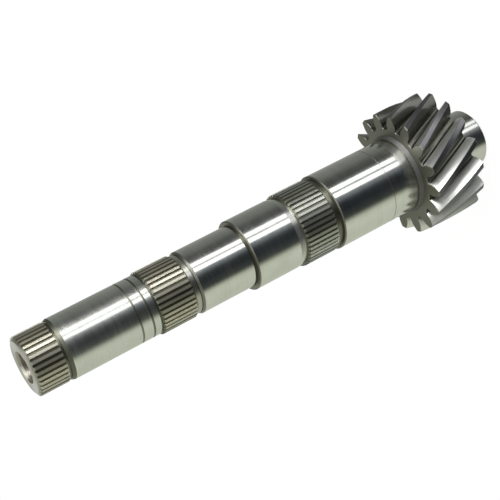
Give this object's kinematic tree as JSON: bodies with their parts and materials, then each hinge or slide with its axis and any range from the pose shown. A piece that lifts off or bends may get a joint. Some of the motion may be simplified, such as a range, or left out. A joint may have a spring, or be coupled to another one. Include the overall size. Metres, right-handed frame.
{
  "type": "differential pinion shaft",
  "caption": "Forged and ground output shaft with a helical final drive pinion, stepped bearing journals and three splined bands, bored at its front end.",
  "frame": {"origin": "centre of the rear end face, on the shaft's axis, at the end beside the gear", "axes": "+Z along the shaft's axis from the gear end to the splined front end; X and Y lie across the shaft"},
  "size_m": [0.066, 0.066, 0.266],
  "materials": {
    "steel": "ground and polished journals, bright machined teeth, duller turned necks and end faces"
  },
  "bodies": {
    "root": {"pinion_shaft": "steel"}
  },
  "joints": []
}
